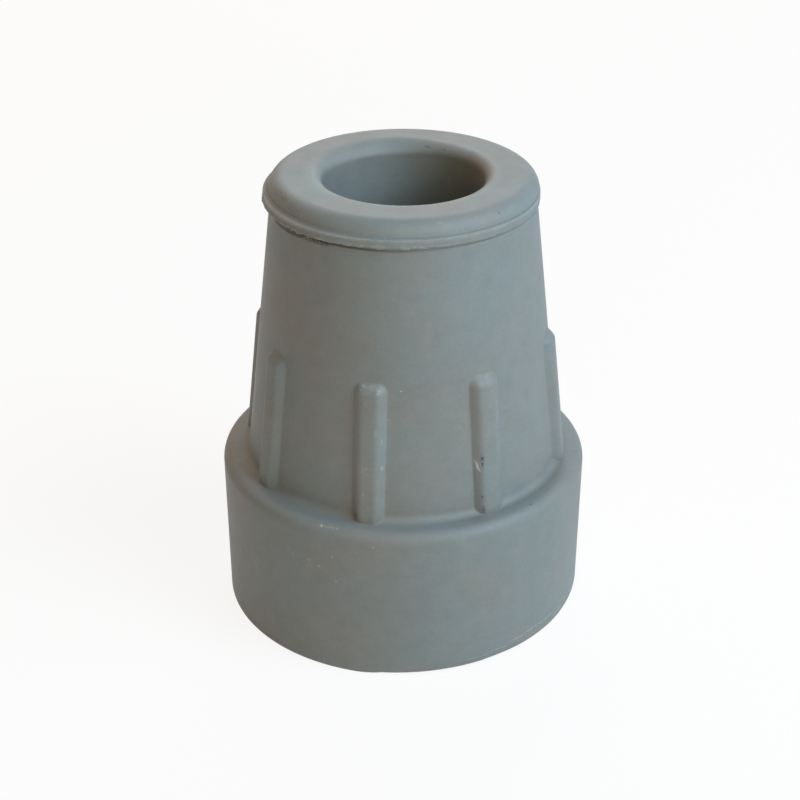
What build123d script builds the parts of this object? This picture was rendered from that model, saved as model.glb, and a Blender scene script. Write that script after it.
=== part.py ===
from build123d import *
import math
import os

# A rubber tip that pushes onto the end of a walking cane, moulded in one piece.
# Millimetres, +Z up. The origin is the centre of the tread, on the ground.
# The front is towards -Y.

# Bore, a blind round hole from the top, of the cane tube's own diameter
bore_diameter = 19.0
bore_mouth_round = 1.3
floor_thickness = 15.0

# Collar, the thick rounded ring round the mouth
collar_wall = 6.3
collar_height = 1.9
collar_round = 1.8

# Lip, the thin parting flange that the mould leaves under the collar
lip_overhang = 0.5
lip_undercut = 0.7
lip_thickness = 1.0

# Cone, the tapering sleeve between the lip and the ledge
cone_height = 32.9
cone_taper_deg = 6.4

# Base, the wide foot with a ledge on top
ledge_width = 3.2
foot_fillet = 1.0
base_height = 19.9
base_draft_deg = 0.5
shoulder_round = 1.35
ground_edge_round = 0.8

# Ribs, flat-crested bars with sloping flanks, which stand on the ledge and lie against the cone
rib_count = 8
rib_width = 3.9
rib_height = 0.9
rib_length = 17.0
rib_flank_deg = 45
rib_end_round = 1.2
rib_crest_round = 0.5
rib_turn_deg = -12.9

# Tread, ring grooves in the underside
groove_count = 3
groove_width = 1.6
groove_depth = 1.2
groove_pitch = 4.8
outer_land_width = 2.4

# Radii, worked out from the bore outwards
bore_radius = bore_diameter / 2
collar_radius = bore_radius + collar_wall
lip_radius = collar_radius + lip_overhang
cone_top_radius = lip_radius - lip_undercut
cone_foot_radius = cone_top_radius + cone_height * math.tan(math.radians(cone_taper_deg))
base_radius = cone_foot_radius + ledge_width
base_foot_radius = base_radius - base_height * math.tan(math.radians(base_draft_deg))

# Heights, worked out from the ground upwards
lip_bottom = base_height + cone_height
lip_top = lip_bottom + lip_thickness
collar_top = lip_top + collar_height


def rounded_outline(corners):
    """Closed face in the XZ plane through (radius, height, corner radius) triples."""
    points = [(radius, height) for radius, height, _ in corners]
    with BuildSketch(Plane.XZ) as sketch:
        with BuildLine():
            Polyline(*points, close=True)
        make_face()
        for radius, height, corner_radius in corners:
            if corner_radius > 0:
                corner = sketch.vertices().sort_by_distance((radius, height))[0]
                fillet(corner, corner_radius)
    return sketch.sketch


def sleeve():
    """The whole turned form: base, cone, lip and collar, with the blind bore."""
    section = rounded_outline([
        (0, 0, 0),
        (base_foot_radius, 0, ground_edge_round),
        (base_radius, base_height, shoulder_round),
        (cone_foot_radius, base_height, foot_fillet),
        (cone_top_radius, lip_bottom, 0),
        (lip_radius, lip_bottom, 0),
        (lip_radius, lip_top, 0),
        (collar_radius, lip_top, 0),
        (collar_radius, collar_top, collar_round),
        (bore_radius, collar_top, bore_mouth_round),
        (bore_radius, floor_thickness, 0),
        (0, floor_thickness, 0),
    ])
    return revolve(section, Axis.Z)


def rib():
    """One rib on the +X side, wide at its root and narrower at its crest."""
    slope = math.radians(cone_taper_deg)
    outward = Vector(math.cos(slope), 0, math.sin(slope))
    # The bar starts inside the cone and the base, so that it meets both all round.
    depth = foot_fillet
    spread = depth * math.tan(math.radians(rib_flank_deg))
    half = rib_width / 2 + spread
    top = rib_length / math.cos(slope) + spread
    origin = Vector(cone_foot_radius, 0, base_height) - outward * depth
    against_cone = Plane(origin=origin, x_dir=(0, 1, 0), z_dir=outward)
    with BuildSketch(against_cone) as root:
        with BuildLine():
            Polyline((-half, -half), (half, -half), (half, top), (-half, top), close=True)
        make_face()
        fillet(root.vertices().group_by(Axis.Y)[-1], rib_end_round + spread)
    bar = extrude(root.sketch, amount=depth + rib_height, taper=rib_flank_deg)
    crest = bar.faces().sort_by(Axis(origin, outward))[-1]
    return fillet(crest.edges(), rib_crest_round)


def ribs():
    """All the ribs, evenly spaced. One stands just left of the front."""
    bar = rib()
    front_deg = -90
    step_deg = 360 / rib_count
    return [Rot(0, 0, front_deg + rib_turn_deg + k * step_deg) * bar for k in range(rib_count)]


def tread_grooves():
    """The rings cut from the underside, from the outer land inwards."""
    outer = base_foot_radius - ground_edge_round - outer_land_width
    rings = []
    for k in range(groove_count):
        far = outer - k * groove_pitch
        near = far - groove_width
        if near <= 0:
            break
        section = rounded_outline([
            (near, -groove_depth, 0),
            (far, -groove_depth, 0),
            (far, groove_depth, 0),
            (near, groove_depth, 0),
        ])
        rings.append(revolve(section, Axis.Z))
    return rings


cane_tip = sleeve() + ribs() - tread_grooves()

os.makedirs("parts", exist_ok=True)
export_step(cane_tip, "parts/cane_tip.step")
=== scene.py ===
import bmesh
import bpy
import math
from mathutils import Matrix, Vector


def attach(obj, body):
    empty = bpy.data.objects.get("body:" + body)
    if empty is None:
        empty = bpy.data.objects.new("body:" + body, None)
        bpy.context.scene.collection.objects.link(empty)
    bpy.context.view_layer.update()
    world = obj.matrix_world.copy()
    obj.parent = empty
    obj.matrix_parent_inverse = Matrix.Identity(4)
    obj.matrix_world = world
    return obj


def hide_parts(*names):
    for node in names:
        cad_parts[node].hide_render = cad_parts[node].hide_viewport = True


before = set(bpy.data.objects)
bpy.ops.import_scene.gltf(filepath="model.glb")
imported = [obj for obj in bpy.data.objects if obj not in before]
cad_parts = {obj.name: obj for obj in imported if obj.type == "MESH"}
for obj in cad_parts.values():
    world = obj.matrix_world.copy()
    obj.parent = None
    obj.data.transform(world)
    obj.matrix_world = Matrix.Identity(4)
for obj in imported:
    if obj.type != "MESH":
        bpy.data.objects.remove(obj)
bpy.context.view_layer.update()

mm = 0.001
fullTurn = 2 * math.pi


# Wires and nodes, for the maths of geometry and shader trees alike

def openSocket(sockets, name):
    if isinstance(name, int):
        return sockets[name]
    return next(socket for socket in sockets if socket.name == name and socket.enabled)


class Wire:
    # One output of a node, which adds and multiplies like a number
    def __init__(self, maker, socket):
        self.maker = maker
        self.socket = socket

    def out(self, name):
        return Wire(self.maker, openSocket(self.socket.node.outputs, name))

    def __add__(self, other):
        return self.maker.maths("ADD", self, other)

    def __radd__(self, other):
        return self.maker.maths("ADD", other, self)

    def __sub__(self, other):
        return self.maker.maths("SUBTRACT", self, other)

    def __rsub__(self, other):
        return self.maker.maths("SUBTRACT", other, self)

    def __mul__(self, other):
        return self.maker.maths("MULTIPLY", self, other)

    def __rmul__(self, other):
        return self.maker.maths("MULTIPLY", other, self)

    def __truediv__(self, other):
        return self.maker.maths("DIVIDE", self, other)

    def __rtruediv__(self, other):
        return self.maker.maths("DIVIDE", other, self)


class NodeMaker:
    # Adds nodes to one tree: settings first, then the values or links of the sockets
    def __init__(self, tree):
        self.tree = tree
        tree.nodes.clear()

    def add(self, kind, settings=None, sockets=None):
        node = self.tree.nodes.new(kind)
        for name, value in (settings or {}).items():
            setattr(node, name, value)
        for name, value in (sockets or {}).items():
            target = openSocket(node.inputs, name)
            if isinstance(value, Wire):
                self.tree.links.new(value.socket, target)
            else:
                target.default_value = value
        shown = [socket for socket in node.outputs if socket.enabled]
        return Wire(self, shown[0]) if shown else node

    def maths(self, operation, *values):
        return self.add("ShaderNodeMath", {"operation": operation}, dict(enumerate(values)))

    def vectors(self, operation, *values):
        return self.add("ShaderNodeVectorMath", {"operation": operation}, dict(enumerate(values)))

    def scale(self, vector, amount):
        return self.add("ShaderNodeVectorMath", {"operation": "SCALE"}, {
            "Vector": vector, "Scale": amount})

    def join(self, x, y, z):
        return self.add("ShaderNodeCombineXYZ", None, {"X": x, "Y": y, "Z": z})

    def split(self, vector):
        parts = self.add("ShaderNodeSeparateXYZ", None, {"Vector": vector})
        return parts.out("X"), parts.out("Y"), parts.out("Z")

    def smooth(self, value, low, high, start=0.0, end=1.0):
        # start below low, end above high, and a smooth step between them
        return self.add("ShaderNodeMapRange", {"interpolation_type": "SMOOTHSTEP"}, {
            "Value": value, "From Min": low, "From Max": high, "To Min": start, "To Max": end})


def setPart(name, mesh):
    part = bpy.data.objects.new(name, mesh)
    bpy.context.scene.collection.objects.link(part)
    return part


# Camera, from the outline of the part in the photograph

cameraSetup = {
    "distance": 0.2196,
    "elevation": math.radians(28.48),
    "aimHeight": 0.02553,
    "aimSide": -0.00042,
    "lens": 79.76,
    "sensor": 36,
}


def addCamera(setup):
    aim = Vector((setup["aimSide"], 0, setup["aimHeight"]))
    back = Vector((0, -math.cos(setup["elevation"]), math.sin(setup["elevation"])))
    data = bpy.data.cameras.new("camera")
    data.lens = setup["lens"]
    data.sensor_width = setup["sensor"]
    camera = bpy.data.objects.new("camera", data)
    camera.location = aim + back * setup["distance"]
    camera.rotation_euler = (math.pi / 2 - setup["elevation"], 0, 0)
    bpy.context.scene.collection.objects.link(camera)
    bpy.context.scene.camera = camera


addCamera(cameraSetup)
print("camera set")


# The section of the tip, from the middle of the tread out, up and down into the bore

tipSizes = {    # millimetres, as in the CAD
    "boreRadius": 9.5,
    "boreFloor": 15.0,
    "floorRound": 1.0,
    "mouthReach": 0.8,
    "mouthTopRound": 1.25,
    "mouthFootRound": 1.25,
    "collarRadius": 15.8,
    "collarTop": 55.7,
    "collarRound": 1.8,
    "collarFoot": 53.85,
    "gutterRound": 0.4,
    "lipRadius": 16.3,
    "lipTop": 53.8,
    "lipBottom": 52.8,
    "lipEdge": 0.08,
    "lipGroove": 0.14,
    "flash": 0.08,
    "recess": 0.3,
    "recessHeight": 0.4,
    "coneTop": 15.6,
    "coneFoot": 19.29,
    "footRound": 1.0,
    "ledgeHeight": 19.9,
    "baseRadius": 22.47,
    "shoulderRound": 1.35,
    "groundRadius": 22.3,
    "groundRound": 0.4,
    "grooveDepth": 1.2,
    "grooveEdge": 0.25,
    "grooves": [(7.88, 9.48), (12.68, 14.28), (17.48, 19.08)],
}

# What differs to some sides: the ground edge is rounder, the lip thinner, the mouth wider
wornSizes = {"groundRound": 1.7}
flaredSizes = {"mouthReach": 1.25, "mouthTopRound": 2.3, "mouthFootRound": 0.9}
thinSizes = {
    "lipRadius": 16.05,
    "lipGroove": 0.04,
    "recess": 0.05,
    "flash": -0.04,
    "gutterRound": 0.15,
}

# Also in millimetres
hem = 0.12    # the short row beside each round, which keeps flat faces flat
ribEnd = 35.7    # where the rounded ends of the ribs start
ribTop = 37.3    # just above them
lipCorner = 0.04    # how far the lip's corners stand off its plain outline
flashWidth = 0.3    # the strip along the lip's lower edge that bears flash
ridgeWidth = 0.22    # the strip along its upper edge that gets a painted highlight
evenRun = 10    # the height over which the columns spread out above the ribs


def coneRadius(size, height):
    share = (height - size["ledgeHeight"]) / (size["lipBottom"] - size["ledgeHeight"])
    return size["coneFoot"] + (size["coneTop"] - size["coneFoot"]) * share


def sectionCorners(size):
    # Each corner: radius, height, its round, the rows on the round and on the run after it
    lipMiddle = (size["lipTop"] + size["lipBottom"]) / 2
    edge, depth = size["grooveEdge"], size["grooveDepth"]
    recessFoot = size["lipBottom"] - size["recessHeight"]
    corners = [(0, 0, 0, 0, 0)]
    for near, far in size["grooves"]:
        corners += [(near, 0, edge, 2, 0), (near, depth, edge, 2, 0),
                    (far, depth, edge, 2, 0), (far, 0, edge, 2, 1)]
    corners += [
        (size["groundRadius"], 0, size["groundRound"], 6, 11),
        (size["baseRadius"], size["ledgeHeight"], size["shoulderRound"], 8, 3),
        (size["coneFoot"], size["ledgeHeight"], size["footRound"], 8, 48),
        (coneRadius(size, ribEnd), ribEnd, 0, 0, 12),
        (coneRadius(size, ribTop), ribTop, 0, 0, 14),
        (coneRadius(size, recessFoot - 0.15), recessFoot - 0.15, 0.1, 2, 0),
        (size["coneTop"] - size["recess"], recessFoot, 0.08, 2, 0),
        (size["coneTop"] - size["recess"], size["lipBottom"], 0.08, 2, 0),
        (size["lipRadius"] + size["flash"], size["lipBottom"] + lipCorner, size["lipEdge"], 4, 0),
        (size["lipRadius"] - size["lipGroove"], lipMiddle, 0.15, 3, 0),
        (size["lipRadius"] - lipCorner, size["lipTop"] - lipCorner, size["lipEdge"], 4, 0),
        (size["collarRadius"], size["collarFoot"], size["gutterRound"], 4, 0),
        (size["collarRadius"], size["collarTop"], size["collarRound"], 8, 4),
        (size["boreRadius"] + size["mouthReach"], size["collarTop"], size["mouthTopRound"], 6, 0),
        (size["boreRadius"], size["collarTop"] - size["mouthReach"], size["mouthFootRound"], 6, 12),
        (size["boreRadius"], size["boreFloor"], size["floorRound"], 3, 2),
        (0, size["boreFloor"], 0, 0, 0),
    ]
    return corners


def roundCorner(before, corner, after, amount, rows):
    # Points on the arc that rounds one corner
    toBefore = (before - corner).normalized()
    toAfter = (after - corner).normalized()
    bend = math.pi - toBefore.angle(toAfter)
    middle = corner + (toBefore + toAfter).normalized() * (amount / math.cos(bend / 2))
    start = corner + toBefore * amount * math.tan(bend / 2) - middle
    side = -math.copysign(1, toBefore.cross(toAfter))
    arc = []
    for k in range(rows + 1):
        turn = side * bend * k / rows
        arc.append(middle + Vector((
            start.x * math.cos(turn) - start.y * math.sin(turn),
            start.x * math.sin(turn) + start.y * math.cos(turn))))
    return arc


def sectionPoints(size):
    corners = sectionCorners(size)
    places = [Vector((radius, height)) for radius, height, _, _, _ in corners]
    rounds = []
    for k, (_, _, amount, rows, _) in enumerate(corners):
        if amount:
            rounds.append(roundCorner(places[k - 1], places[k], places[k + 1], amount, rows))
        else:
            rounds.append([places[k]])
    points = []
    for k, arc in enumerate(rounds):
        points += arc
        rows = corners[k][4]
        if rows:
            start, end = arc[-1], rounds[k + 1][0]
            share = hem / (end - start).length
            points += [start.lerp(end, share + (1 - 2 * share) * row / rows) for row in range(rows + 1)]
    return points


def makeSection():
    plainPoints = sectionPoints(tipSizes)
    mesh = bpy.data.meshes.new("section")
    mesh.from_pydata([(p.x * mm, 0, p.y * mm) for p in plainPoints],
                     [(k, k + 1) for k in range(len(plainPoints) - 1)], [])
    for name, changed in (("toWorn", wornSizes), ("toThin", thinSizes), ("toFlared", flaredSizes)):
        shift = mesh.attributes.new(name, "FLOAT_VECTOR", "POINT")
        for k, (plain, other) in enumerate(zip(plainPoints, sectionPoints({**tipSizes, **changed}))):
            shift.data[k].vector = ((other.x - plain.x) * mm, 0, (other.y - plain.y) * mm)
    rules = {"ribHold": ribHold, "flashHold": flashHold, "ridgeHold": ridgeHold, "evenness": evenness}
    for name, rule in rules.items():
        kept = mesh.attributes.new(name, "FLOAT", "POINT")
        for k in range(len(plainPoints)):
            kept.data[k].value = rule(plainPoints, k)
    return mesh


def ribHold(points, k):
    # 1 where a rib lifts the surface: the cone and the round at its foot
    point = points[k]
    outside = point.x > tipSizes["coneTop"] and point.x < tipSizes["coneFoot"] + tipSizes["footRound"]
    high = tipSizes["ledgeHeight"] - 0.01 < point.y < ribTop + 1
    return 1.0 if outside and high else 0.0


def flashHold(points, k):
    # 1 along the lower edge of the lip, where the mould leaves flash
    edge = Vector((tipSizes["lipRadius"], tipSizes["lipBottom"] + lipCorner))
    return max(0.0, 1 - (points[k] - edge).length / flashWidth)


def ridgeHold(points, k):
    # 1 along the upper edge of the lip
    edge = Vector((tipSizes["lipRadius"] - lipCorner, tipSizes["lipTop"] - lipCorner))
    return max(0.0, 1 - (points[k] - edge).length / ridgeWidth)


def evenness(points, k):
    # 0 where the columns follow the ribs, 1 where they are evenly spread
    top = max(range(len(points)), key=lambda n: points[n].y)
    if k > top:
        return 1.0
    return min(1.0, max(0.0, (points[k].y - ribTop - 0.5) / evenRun))


# The body of the tip: the section turned round, with ribs and flash raised on it

coneDrop = tipSizes["coneFoot"] - tipSizes["coneTop"]
coneRise = tipSizes["lipBottom"] - tipSizes["ledgeHeight"]

bodySetup = {    # the inputs of the tree
    "Columns": 384,
    "Front": math.radians(-90),
    "Rib Count": 8,
    "Rib Turn": math.radians(-12.9),
    "Rib Stray": math.radians(0.85),
    "Rib Width": 3.9 * mm,
    "Rib Height": 0.9 * mm,
    "Rib Length": 17.0 * mm,
    "Rib End": 1.2 * mm,
    "Rib Crest": 0.62 * mm,
    "Rib Blend": 0.06 * mm,
    "Root Hem": 0.05 * mm,
    "Cone Foot": tipSizes["coneFoot"] * mm,
    "Cone Slope": coneDrop / coneRise,
    "Ledge Height": tipSizes["ledgeHeight"] * mm,
    "Worn Side": math.radians(-38),
    "Thin Side": math.radians(-20),
    "Flared Side": math.radians(122),
    "Lip Shift": 0.16 * mm,
    "Flash Reach": 0.18 * mm,
    "Flash Drop": 0.28 * mm,
    "Flash Scale": 1300.0,
    "Unevenness": 0.03 * mm,
    "Seam Reach": 0.0003 * mm,
    "Seed": 7,
}

# The last column of each run from the middle of a rib to the middle of the gap beside it
ribColumns = {"crest": 6.0, "flank": 12.0, "hem": 14.0, "gap": 24.0}

bodyFades = {    # where a change starts and ends: cosines to a side, noise levels, or metres
    "worn": (0.35, 0.98),
    "thin": (-0.45, 0.5),
    "flared": (0.45, 1.0),
    "nubs": (0.5, 0.75),
    "overCone": (52.5 * mm, 52.9 * mm),
    "underCollar": (53.9 * mm, 54.2 * mm),
    "lipOutside": (15.7 * mm, 16.2 * mm),
    "offAxis": (1 * mm, 6 * mm),
}


def bodyTree(material):
    tree = bpy.data.node_groups.new("turnedTip", "GeometryNodeTree")
    face = tree.interface
    face.new_socket(name="Geometry", in_out="OUTPUT", socket_type="NodeSocketGeometry")
    face.new_socket(name="Section", in_out="INPUT", socket_type="NodeSocketGeometry")
    kinds = {int: "NodeSocketInt", float: "NodeSocketFloat"}
    named = {}
    for name, value in bodySetup.items():
        named[name] = face.new_socket(name=name, in_out="INPUT", socket_type=kinds[type(value)]).identifier
    make = NodeMaker(tree)
    given = make.add("NodeGroupInput")
    section = given.out("Section")

    # A flat sheet: columns go round the tip, rows along its section
    rows = make.add("GeometryNodeAttributeDomainSize", {"component": "MESH"}, {"Geometry": section})
    sheet = make.add("GeometryNodeMeshGrid", None, {
        "Size X": 1.0, "Size Y": 1.0, "Vertices X": given.out("Columns") + 1, "Vertices Y": rows})
    across, along, _ = make.split(make.add("GeometryNodeInputPosition"))
    row = make.maths("ROUND", (along + 0.5) * (rows - 1))

    def fromSection(name, kind):
        if name == "position":
            value = make.add("GeometryNodeInputPosition")
        else:
            value = make.add("GeometryNodeInputNamedAttribute", {"data_type": kind}, {"Name": name})
        return make.add("GeometryNodeSampleIndex", {"data_type": kind}, {
            "Geometry": section, "Value": value, "Index": row})

    # Even columns first, for what depends on the side of the tip
    count = given.out("Rib Count")
    ribStep = fullTurn / count
    ribPlace = (across + 0.5) * count
    evenTurn = ribPlace * ribStep
    roughly = evenTurn + given.out("Front") + given.out("Rib Turn")

    # The section at this place, more worn or thinner towards some sides
    def towards(side):
        return make.maths("COSINE", roughly - side)
    worn = make.smooth(towards(given.out("Worn Side")), *bodyFades["worn"])
    thin = make.smooth(towards(given.out("Thin Side")), *bodyFades["thin"])
    flared = make.smooth(towards(given.out("Flared Side")), *bodyFades["flared"])
    place = fromSection("position", "FLOAT_VECTOR")
    for name, share in (("toWorn", worn), ("toThin", thin), ("toFlared", flared)):
        place = make.vectors("ADD", place, make.scale(fromSection(name, "FLOAT_VECTOR"), share))
    radius, _, height = make.split(place)

    # Columns follow the edges of the ribs, and spread out evenly above them
    local = make.maths("WRAP", ribPlace, 0.5, -0.5)
    ribIndex = make.maths("FLOORED_MODULO", ribPlace - local, count)
    column = make.maths("ABSOLUTE", local) * given.out("Columns") / count

    def piece(first, last, size):
        return make.add("ShaderNodeMapRange", None, {
            "Value": column, "From Min": first, "From Max": last, "To Min": 0.0, "To Max": size})
    half = given.out("Rib Width") / 2
    ribHeight = given.out("Rib Height")
    rootHem = given.out("Root Hem")
    crestPart = piece(0.0, ribColumns["crest"], half - ribHeight)
    flankPart = piece(ribColumns["crest"], ribColumns["flank"], ribHeight - rootHem)
    hemPart = piece(ribColumns["flank"], ribColumns["hem"], 2 * rootHem)
    fromMiddle = crestPart + flankPart + hemPart
    gap = piece(ribColumns["hem"], ribColumns["gap"], 1.0)
    leastRadius = 15 * mm    # rows nearer to the axis keep the columns of this radius
    ribRadius = make.maths("MAXIMUM", radius, leastRadius)
    fromRib = fromMiddle / ribRadius + gap * (ribStep / 2 - (half + rootHem) / ribRadius)
    # Each rib stands a little off its place
    stray = make.maths("SINE", ribIndex * 3.739 + 0.629) * given.out("Rib Stray") * (1 - gap)
    ribTurn = ribPlace - local
    followed = ribTurn * ribStep + make.maths("SIGN", local) * fromRib + stray
    even = fromSection("evenness", "FLOAT")
    turn = followed + even * (evenTurn - followed)
    azimuth = turn + given.out("Front") + given.out("Rib Turn")

    # Ribs: flat-crested bars with sloping flanks and ends, which all stand on the ledge
    side = make.maths("SIGN", local) * fromRib * radius
    endRound = given.out("Rib End")
    pastSide = make.maths("ABSOLUTE", side) - half + endRound
    pastEnd = height - given.out("Ledge Height") - given.out("Rib Length") + endRound
    past = make.vectors("LENGTH", make.join(
        make.maths("MAXIMUM", pastSide, 0.0), make.maths("MAXIMUM", pastEnd, 0.0), 0.0)).out("Value")
    outside = past + make.maths("MINIMUM", make.maths("MAXIMUM", pastSide, pastEnd), 0.0) - endRound
    bulge = make.maths("SMOOTH_MIN", 0 - outside, ribHeight, given.out("Rib Crest"))
    overLedge = height - given.out("Ledge Height")
    ribReach = given.out("Cone Foot") - overLedge * given.out("Cone Slope") + bulge
    hold = fromSection("ribHold", "FLOAT")
    lift = (make.maths("SMOOTH_MAX", radius, ribReach, given.out("Rib Blend")) - radius) * hold

    # Flash: a ragged thin edge under the lip
    aheadX, aheadY = make.maths("COSINE", azimuth), make.maths("SINE", azimuth)
    ring = make.join(aheadX * 16 * mm, aheadY * 16 * mm, given.out("Seed") * 1.0)
    ragged = make.add("ShaderNodeTexNoise", {"noise_dimensions": "3D"}, {
        "Vector": ring, "Scale": given.out("Flash Scale"), "Detail": 3.0, "Roughness": 0.6})
    nubs = make.smooth(ragged, *bodyFades["nubs"])
    flashHere = fromSection("flashHold", "FLOAT")
    flash = (ragged - 0.45) * 2 * given.out("Flash Reach") * flashHere
    drop = nubs * given.out("Flash Drop") * flashHere

    # The lip sits a little to the left of the bore
    overCone = make.smooth(height, *bodyFades["overCone"])
    underCollar = make.smooth(height, *bodyFades["underCollar"], 1.0, 0.0)
    onOutside = make.smooth(radius, *bodyFades["lipOutside"])
    shift = 0 - aheadX * given.out("Lip Shift") * (overCone * underCollar) * onOutside

    reach = radius + lift + flash + shift
    smoothPlace = make.join(reach * aheadX, reach * aheadY, height)
    swell = make.add("ShaderNodeTexNoise", {"noise_dimensions": "4D"}, {
        "Vector": smoothPlace, "W": given.out("Seed") * 3.1, "Scale": 90.0, "Detail": 2.0})
    sunk = swell * given.out("Unevenness") * make.smooth(radius, *bodyFades["offAxis"])
    final = reach - sunk
    spot = make.join(final * aheadX, final * aheadY, height - drop)

    # The material reads where the ribs and the lip's edges are
    kept = sheet
    ridgeHighlight = fromSection("ridgeHold", "FLOAT")
    for name, value in (("ribLift", lift / ribHeight), ("ridgeHighlightEdge", ridgeHighlight), ("flashEdge", flashHere)):
        kept = make.add("GeometryNodeStoreNamedAttribute", {"data_type": "FLOAT", "domain": "POINT"}, {
            "Geometry": kept, "Name": name, "Value": value})
    turned = make.add("GeometryNodeSetPosition", None, {"Geometry": kept, "Position": spot})
    closed = make.add("GeometryNodeMergeByDistance", None, {
        "Geometry": turned, "Distance": given.out("Seam Reach")})
    shaded = make.add("GeometryNodeSetShadeSmooth", None, {"Geometry": closed})
    whole = make.add("GeometryNodeRealizeInstances", None, {"Geometry": shaded})
    dressed = make.add("GeometryNodeSetMaterial", None, {"Geometry": whole, "Material": material})
    make.add("NodeGroupOutput", None, {"Geometry": dressed})
    return tree, named


def growMesh(name, base, tree, named, setup):
    # Runs a geometry tree on a base mesh and keeps the result as a plain mesh
    part = setPart(name, base)
    grow = part.modifiers.new("grow", "NODES")
    grow.node_group = tree
    for title, value in setup.items():
        grow[named[title]] = value
    shown = part.evaluated_get(bpy.context.evaluated_depsgraph_get())
    mesh = bpy.data.meshes.new_from_object(shown)
    mesh.name = name
    part.modifiers.clear()
    part.data = mesh
    return part


def faceOutward(part):
    shape = bmesh.new()
    shape.from_mesh(part.data)
    bmesh.ops.recalc_face_normals(shape, faces=shape.faces)
    openEdges = sum(1 for edge in shape.edges if len(edge.link_faces) != 2)
    shape.to_mesh(part.data)
    shape.free()
    print(part.name, "faces", len(part.data.polygons), "open edges", openEdges)


# Rubber: one matt grey, clouded and grained, with the marks that this tip has, and with painted highlights
# and painted shade

rubberLook = {    # scales are per metre, shares are parts of the base colour
    "colour": (0.195, 0.217, 0.214),
    "warmTint": (1.035, 0.99, 0.975),
    "coolTint": (0.968, 1.01, 1.028),
    "cloudScale": 70.0,
    "cloudShare": 0.12,
    "tintScale": 110.0,
    "grainScale": 2600.0,
    "grainShare": 0.18,
    "mottleScale": 480.0,
    "mottleShare": 0.2,
    "bandScale": 1.1,
    "bandShare": 0.05,
    "roughness": 0.6,
    "roughnessSpread": 0.12,
    "paleRoughness": 0.15,
    "grainDepth": 0.012 * mm,
    "dentDepth": 0.12 * mm,
    # pale marks and painted highlights take this colour
    "paleAndHighlightColour": (0.5, 0.5, 0.47),
    # dark marks and painted shade take this colour
    "darkAndShadeColour": (0.035, 0.035, 0.03),
    "patchScale": 260.0,
    # painted highlight on the lip's upper edge
    "ridgeHighlightShare": 0.75,
    "flashShare": 0.65,
    "crumbScale": 1700.0,
    # The next three are painted light: a highlight round the mouth, light and shade across the rim, and
    # shade deep in the bore
    "mouthHighlightShare": 0.12,
    "rimLightAndShadeShare": 0.08,
    "boreShadeShare": 0.2,
    "speckScale": 3200.0,
    "speckShare": 0.12,
    # painted shade in the corner on the ledge
    "cornerShadeShare": 0.12,
    "brokenScale": 3600.0,
    "raggedScale": 1500.0,
    "raggedReach": 0.28,
    "patchFade": (0.35, 0.65),
    "crumbFade": (0.4, 0.62),
    "speckFade": (0.62, 0.7),
    "brokenFade": (0.42, 0.6),
    "scratchShare": 0.85,
}

unrollRadius = 20    # millimetres, at which marks are as wide as they say

markLook = {
    "outWeight": 0.7,    # how far a mark reaches through the wall
    "fade": (0.45, 1.1),
    "wideArea": 0.08,    # square millimetres, from which a mark is broken up into specks
    "solidFrom": 0.6,    # the strength from which it isn't
}

rubberPlaces = {    # millimetres, where a change starts and ends
    "overRim": (54.0, 54.6),
    "offBore": (9.55, 9.9),
    "offMouth": (10.6, 12.0),
    "inBore": (9.6, 9.9),
    "overFloor": (14, 15),
    "deepBore": (46, 54),
    "leftSide": (-10 * mm, 2 * mm),
    "flashSide": (-2 * mm, 9 * mm),
    # The next four place the painted shade in the ledge's corner and the painted light and shade across
    # the rim
    "shadeSide": (-4 * mm, 12 * mm),
    "rimLightAndShadeReach": -15 * mm,
    "shadeCorner": (19.95, 19.95),
    "shadeReach": (0.1, 0.75),
}

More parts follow.
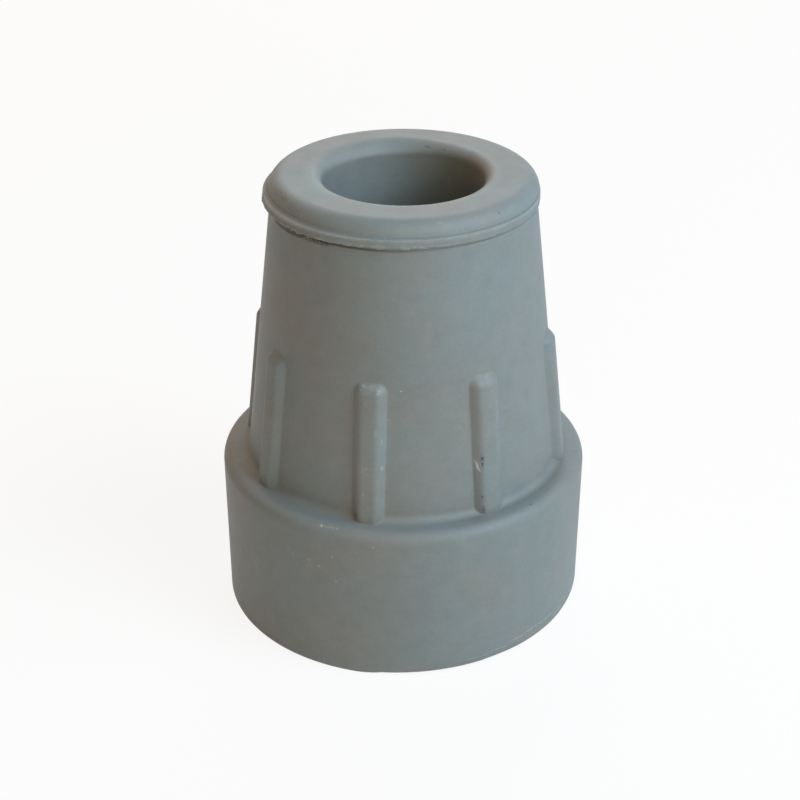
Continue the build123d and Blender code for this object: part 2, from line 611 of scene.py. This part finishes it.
# Each mark: azimuth in degrees, height, radius, half width and half height in millimetres, strength
paleMarksAndHighlights = [
    (-94.2, 46.85, 16.3, 0.12, 0.10, 0.35), (-99.8, 41.3, 16.9, 0.10, 0.10, 0.35),
    (-91.0, 36.05, 17.5, 0.16, 0.11, 0.85), (-95.0, 32.7, 17.9, 0.60, 0.07, 0.12),
    (-99.7, 31.2, 18.6, 0.28, 0.55, 0.14), (-97.6, 30.1, 18.6, 0.16, 0.50, 0.16),
    (-97.5, 26.8, 18.8, 0.16, 0.42, 0.28), (-103.9, 26.6, 19.3, 0.10, 0.42, 0.20),
    (-103.6, 23.6, 19.6, 0.10, 0.35, 0.16),
    (-100.7, 36.5, 17.7, 0.95, 0.35, 0.30), (-104.5, 36.6, 17.7, 0.60, 0.22, 0.28),
    (-98.6, 36.1, 17.8, 0.45, 0.30, 0.34),
    (-57.5, 36.6, 17.6, 0.50, 0.40, 0.12), (-61.0, 37.0, 17.5, 0.60, 0.10, 0.12),
    (-53.9, 20.4, 20.0, 0.30, 0.10, 0.28), (-43.9, 29.9, 18.2, 0.45, 0.06, 0.10),
    (-69.1, 31.1, 18.0, 0.35, 0.12, 0.10), (-49.3, 31.9, 18.0, 0.60, 0.06, 0.12),
    (-5.9, 33.0, 18.4, 0.20, 0.15, 0.45), (-9.0, 33.9, 18.2, 0.20, 0.12, 0.25),
    (-12.5, 25.4, 18.9, 0.15, 0.15, 0.35), (5.5, 24.0, 19.2, 0.12, 2.60, 0.30),
    (-127.3, 15.3, 22.4, 0.20, 0.20, 0.26), (-125.6, 14.7, 22.4, 0.14, 0.42, 0.16),
    (-119.6, 14.8, 22.4, 0.17, 0.15, 0.40), (-116.2, 14.4, 22.4, 0.26, 0.14, 0.32),
    (-112.0, 16.1, 22.4, 0.36, 0.28, 0.16), (-110.6, 12.8, 22.4, 0.10, 0.32, 0.36),
    (-99.0, 18.3, 22.4, 0.18, 0.16, 0.26), (-102.9, 17.5, 22.4, 0.12, 0.12, 0.16),
    (-100.5, 16.9, 22.4, 0.12, 0.12, 0.16), (-153.1, 10.3, 22.4, 0.30, 0.20, 0.10),
    # These two are a painted highlight streak along the shoulder's crest, with pale specks
    (-115.9, 19.66, 21.9, 0.16, 0.13, 0.75), (-112.2, 19.68, 21.9, 1.30, 0.09, 0.26),
    (-136.1, 54.6, 15.6, 0.14, 0.20, 0.40), (-139.4, 55.1, 15.3, 0.12, 0.12, 0.25),
    (-173.5, 32.5, 18.7, 0.30, 2.20, 0.30), (-172.5, 27.0, 19.0, 0.22, 1.80, 0.24),
    # The next six are a painted highlight along the rounded ground edge
    (-30.0, 1.95, 22.3, 1.70, 0.11, 0.40), (-37.0, 2.40, 22.3, 1.70, 0.11, 0.46),
    (-44.0, 2.40, 22.3, 1.70, 0.11, 0.46), (-51.0, 2.12, 22.3, 1.70, 0.11, 0.42),
    (-58.0, 1.72, 22.3, 1.70, 0.10, 0.36), (-66.0, 1.40, 22.3, 1.80, 0.09, 0.28),
    (-75.0, 55.35, 15.1, 0.80, 0.08, 0.16),
]
darkMarksAndShade = [
    # These two make the nick on rib B: dented by the bump, and darkened inside as painted shade
    (-62.1, 26.9, 19.1, 0.24, 0.85, 0.50), (-61.9, 26.2, 19.2, 0.16, 0.30, 0.30),
    (-155.0, 55.1, 15.3, 3.00, 0.45, 0.28),
    (-62.5, 22.2, 19.6, 0.14, 0.16, 0.45), (-45.8, 19.83, 21.5, 0.30, 0.06, 0.40),
    # The second mark on this line and the first on the next, at 20.6 mm high, are painted shade where two
    # ribs meet the ledge
    (-64.4, 24.9, 18.8, 0.10, 1.60, 0.14), (-106.7, 20.6, 19.6, 0.26, 0.45, 0.55),
    (-62.2, 20.6, 19.6, 0.26, 0.40, 0.35), (-132.0, 48.8, 16.1, 1.20, 0.50, 0.14),
    (73.0, 55.12, 9.85, 1.10, 0.07, 0.45), (60.5, 55.10, 9.80, 1.30, 0.09, 0.42),
    (-46.8, 55.1, 15.3, 0.22, 0.08, 0.45), (-49.3, 31.5, 18.0, 0.60, 0.06, 0.18),
    (-43.9, 29.7, 18.2, 0.45, 0.06, 0.18), (-51.4, 28.7, 18.3, 0.40, 0.07, 0.20),
    (-69.1, 31.5, 18.0, 0.40, 0.06, 0.16), (-69.1, 30.5, 18.0, 0.40, 0.06, 0.14),
    (-156.2, 6.6, 22.4, 0.25, 0.20, 0.30), (-140.8, 10.4, 22.4, 0.40, 0.40, 0.16),
    # These two are painted shade in the gap under the lip at the left front
    (-149.0, 52.12, 15.8, 5.60, 0.44, 0.90), (-130.0, 52.20, 15.8, 4.20, 0.32, 0.55),
]
scratch = {
    "azimuth": -63.4,
    "height": 26.1,
    "radius": 19.0,
    "lean": math.radians(18),
    "width": 0.16,
    "length": 0.9,
}


def rubberMaterial():
    look = rubberLook
    material = bpy.data.materials.new("mouldedRubber")
    material.use_nodes = True
    make = NodeMaker(material.node_tree)
    spot = make.add("ShaderNodeTexCoord").out("Object")
    x, y, z = make.split(spot)

    def noise(scale, detail, vector=spot):
        return make.add("ShaderNodeTexNoise", None, {"Vector": vector, "Scale": scale, "Detail": detail})

    def attribute(name):
        return make.add("ShaderNodeAttribute", {"attribute_name": name}).out("Fac")

    # Unrolled place in millimetres: round the tip, up, and out
    around = make.maths("ARCTAN2", y, x) * unrollRadius
    radius = make.maths("SQRT", x * x + y * y) / mm
    height = z / mm
    plain = make.join(around, height, radius)
    ragged = noise(look["raggedScale"], 2.0).out("Color")
    shaken = make.vectors("ADD", plain, make.scale(
        make.vectors("SUBTRACT", ragged, (0.5, 0.5, 0.5)), look["raggedReach"]))

    # Wide marks are broken up into specks
    broken = make.smooth(noise(look["brokenScale"], 2.0), *look["brokenFade"], 0.15, 1.3)

    def sumMarks(marks):
        total = 0.0
        for azimuth, up, out, halfWidth, halfHeight, strength in marks:
            middle = (math.radians(azimuth) * unrollRadius, up, out)
            offset = make.vectors("SUBTRACT", shaken, middle)
            size = make.vectors("MULTIPLY", offset, (1 / halfWidth, 1 / halfHeight, markLook["outWeight"]))
            mark = make.smooth(make.vectors("LENGTH", size), *markLook["fade"], strength, 0.0)
            wide = halfWidth * halfHeight > markLook["wideArea"]
            total = total + (mark * broken if wide and strength < markLook["solidFrom"] else mark)
        return make.maths("MINIMUM", total, 1.0)

    # The scratch beside the nick leans
    start = (math.radians(scratch["azimuth"]) * unrollRadius, scratch["height"], scratch["radius"])
    offset = make.vectors("SUBTRACT", shaken, start)
    leanX, leanY = math.sin(scratch["lean"]), math.cos(scratch["lean"])
    length, width = scratch["length"], scratch["width"]
    along = make.vectors("DOT_PRODUCT", offset, (leanX / length, -leanY / length, 0)).out("Value")
    aside = make.vectors("DOT_PRODUCT", offset, (leanY / width, leanX / width, 0)).out("Value")
    fromScratch = make.vectors("LENGTH", make.join(along, aside, 0.0))
    line = make.smooth(fromScratch, 0.4, 1.1, look["scratchShare"], 0.0)

    # The lip's upper edge gets a painted highlight, stronger to the left; its lower edge with the flash
    # and the crests of the ribs are rubbed pale
    places = rubberPlaces
    patchy = make.smooth(noise(look["patchScale"], 3.0), *look["patchFade"])
    crumbs = make.smooth(noise(look["crumbScale"], 3.0), *look["crumbFade"])
    onLeft = make.smooth(x, *places["leftSide"], 1.0, 0.0)
    ridgeHighlight = attribute("ridgeHighlightEdge") * look["ridgeHighlightShare"]
    wearAndHighlight = ridgeHighlight * (0.35 + patchy * 0.3 + onLeft * 0.35) * (0.6 + crumbs * 0.4)
    flash = attribute("flashEdge") * look["flashShare"] * crumbs * (0.3 + patchy * 0.7)
    wearAndHighlight = wearAndHighlight + flash * make.smooth(x, *places["flashSide"], 1.0, 0.3)
    specks = make.smooth(noise(look["speckScale"], 2.0), *look["speckFade"])
    wearAndHighlight = wearAndHighlight + specks * make.smooth(attribute("ribLift"), 0.5, 0.9) * look["speckShare"]

    # Painted shade in the corner where the cone meets the ledge, on the right side
    cornerOut, cornerUp = places["shadeCorner"]
    corner = make.vectors("LENGTH", make.join(radius - cornerOut, height - cornerUp, 0.0))
    cornerShade = make.smooth(corner, *places["shadeReach"], look["cornerShadeShare"], 0.0)
    cornerShade = cornerShade * make.smooth(x, *places["shadeSide"])

    paleAndHighlight = make.maths("MINIMUM", sumMarks(paleMarksAndHighlights) + line + wearAndHighlight, 1.0)
    darkAndShade = make.maths("MINIMUM", sumMarks(darkMarksAndShade) + cornerShade, 1.0)

    # Colour: clouds, a warm and cool tint, soft bands round the tip and fine grain
    cloud = (noise(look["cloudScale"], 4.0) - 0.5) * look["cloudShare"]
    grain = noise(look["grainScale"], 3.0)
    bands = noise(look["bandScale"], 3.0, make.vectors("MULTIPLY", plain, (0.06, 1.6, 0.0)))
    mottle = (noise(look["mottleScale"], 3.0) - 0.5) * look["mottleShare"]
    level = 1 + cloud + mottle + (grain - 0.5) * look["grainShare"]
    level = level + (bands - 0.5) * look["bandShare"]

    # Painted light and shade on the top and in the bore: a painted highlight makes the top paler round the
    # mouth, the rim is painted paler at the front and darker at the back, and painted shade darkens the
    # bore further in
    onTop = make.smooth(height, *places["overRim"]) * make.smooth(radius, *places["offBore"])
    mouthHighlight = onTop * make.smooth(radius, *places["offMouth"], 1.0, 0.0)
    rimLightAndShade = onTop * (y / places["rimLightAndShadeReach"])
    inBore = make.smooth(radius, *places["inBore"], 1.0, 0.0) * make.smooth(height, *places["overFloor"])
    boreShade = inBore * make.smooth(height, *places["deepBore"], 1.0, 0.0)
    level = level + mouthHighlight * look["mouthHighlightShare"] + rimLightAndShade * look["rimLightAndShadeShare"] - boreShade * look["boreShadeShare"]
    tint = make.add("ShaderNodeMix", {"data_type": "RGBA"}, {
        "Factor": make.smooth(noise(look["tintScale"], 2.0), 0.35, 0.65),
        "A": (*look["warmTint"], 1), "B": (*look["coolTint"], 1)})
    rubber = make.scale(make.vectors("MULTIPLY", tint, look["colour"]), level)
    withPaleAndHighlight = make.add("ShaderNodeMix", {"data_type": "RGBA"}, {
        "Factor": paleAndHighlight, "A": rubber, "B": (*look["paleAndHighlightColour"], 1)})
    finished = make.add("ShaderNodeMix", {"data_type": "RGBA"}, {
        "Factor": darkAndShade, "A": withPaleAndHighlight, "B": (*look["darkAndShadeColour"], 1)})

    finer = noise(look["cloudScale"] * 4, 3.0)
    roughness = look["roughness"] + (finer - 0.5) * look["roughnessSpread"] + paleAndHighlight * look["paleRoughness"]
    grained = make.add("ShaderNodeBump", None, {
        "Strength": 1.0, "Distance": look["grainDepth"], "Height": grain})
    dented = make.add("ShaderNodeBump", None, {
        "Strength": 1.0, "Distance": look["dentDepth"], "Height": 0 - darkAndShade, "Normal": grained})
    shader = make.add("ShaderNodeBsdfPrincipled", None, {
        "Base Color": finished, "Roughness": roughness, "Normal": dented})
    make.add("ShaderNodeOutputMaterial", None, {"Surface": shader})
    return material


rubber = rubberMaterial()
tree, named = bodyTree(rubber)
body = growMesh("tipBody", makeSection(), tree, named, bodySetup)
faceOutward(body)
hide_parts("cane_tip")
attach(body, "root")
print("tip made")

# Stage: a pale floor that looks white to the camera, and soft lamps

stageSetup = {
    "floorSize": 12.0,
    "floorColour": (1.0, 0.965, 0.94),
    "shadowShare": 0.12,
    "worldLight": 0.05,
    "worldColour": (1.0, 0.6, 0.44),
}

lampSetup = {"distance": 0.6, "size": 0.35, "aimHeight": 0.03}

lamps = {    # azimuth and elevation in degrees, power in watts
    "frontRight": {"azimuth": -45, "elevation": 35, "power": 1.68, "colour": (0.485, 0.8, 1.0)},
    "right": {"azimuth": -20, "elevation": 45, "power": 2.6, "colour": (0.74, 0.87, 1.0)},
    "behind": {"azimuth": 90, "elevation": 30, "power": 1.08, "colour": (1.0, 0.97, 0.92)},
    "behindLeft": {"azimuth": 135, "elevation": 30, "power": 0.66, "colour": (1.0, 0.5, 0.2)},
    "front": {"azimuth": -90, "elevation": 25, "power": 0.86, "colour": (1.0, 0.59, 0.17)},
}


def whiteToCamera(make):
    # 1 for rays that show the background itself: camera, glossy and transmission rays
    rays = make.add("ShaderNodeLightPath")
    seen = make.maths("MAXIMUM", rays.out("Is Camera Ray"), rays.out("Is Glossy Ray"))
    return make.maths("MAXIMUM", seen, rays.out("Is Transmission Ray"))


def addFloor(setup):
    half = setup["floorSize"] / 2
    mesh = bpy.data.meshes.new("floor")
    corners = [(-half, -half, 0), (half, -half, 0), (half, half, 0), (-half, half, 0)]
    mesh.from_pydata(corners, [], [(0, 1, 2, 3)])
    material = bpy.data.materials.new("paleFloor")
    material.use_nodes = True
    make = NodeMaker(material.node_tree)
    lit = make.add("ShaderNodeBsdfDiffuse", None, {"Color": (*setup["floorColour"], 1)})
    white = make.add("ShaderNodeEmission", None, {"Color": (1, 1, 1, 1), "Strength": 1.0})
    mixed = make.add("ShaderNodeMixShader", None, {
        0: whiteToCamera(make) * (1 - setup["shadowShare"]), 1: lit, 2: white})
    make.add("ShaderNodeOutputMaterial", None, {"Surface": mixed})
    mesh.materials.append(material)
    setPart("floor", mesh)


def addWorld(setup):
    world = bpy.data.worlds.new("studio")
    bpy.context.scene.world = world
    world.use_nodes = True
    make = NodeMaker(world.node_tree)
    seen = whiteToCamera(make)
    fill = make.add("ShaderNodeBackground", None, {
        "Color": (*setup["worldColour"], 1), "Strength": setup["worldLight"]})
    white = make.add("ShaderNodeBackground", None, {"Color": (1, 1, 1, 1), "Strength": 1.0})
    mixed = make.add("ShaderNodeMixShader", None, {0: seen, 1: fill, 2: white})
    make.add("ShaderNodeOutputWorld", None, {"Surface": mixed})


def addLamp(name, lamp, setup):
    data = bpy.data.lights.new(name, "AREA")
    data.energy = lamp["power"]
    data.color = lamp["colour"]
    data.size = setup["size"]
    azimuth, elevation = math.radians(lamp["azimuth"]), math.radians(lamp["elevation"])
    flat = math.cos(elevation)
    away = Vector((math.cos(azimuth) * flat, math.sin(azimuth) * flat, math.sin(elevation)))
    light = bpy.data.objects.new(name, data)
    light.location = Vector((0, 0, setup["aimHeight"])) + away * setup["distance"]
    light.rotation_euler = away.to_track_quat("Z", "Y").to_euler()
    bpy.context.scene.collection.objects.link(light)


addFloor(stageSetup)
addWorld(stageSetup)
for name, lamp in lamps.items():
    addLamp(name, lamp, lampSetup)
bpy.context.scene.view_settings.view_transform = "Standard"
print("stage lit")
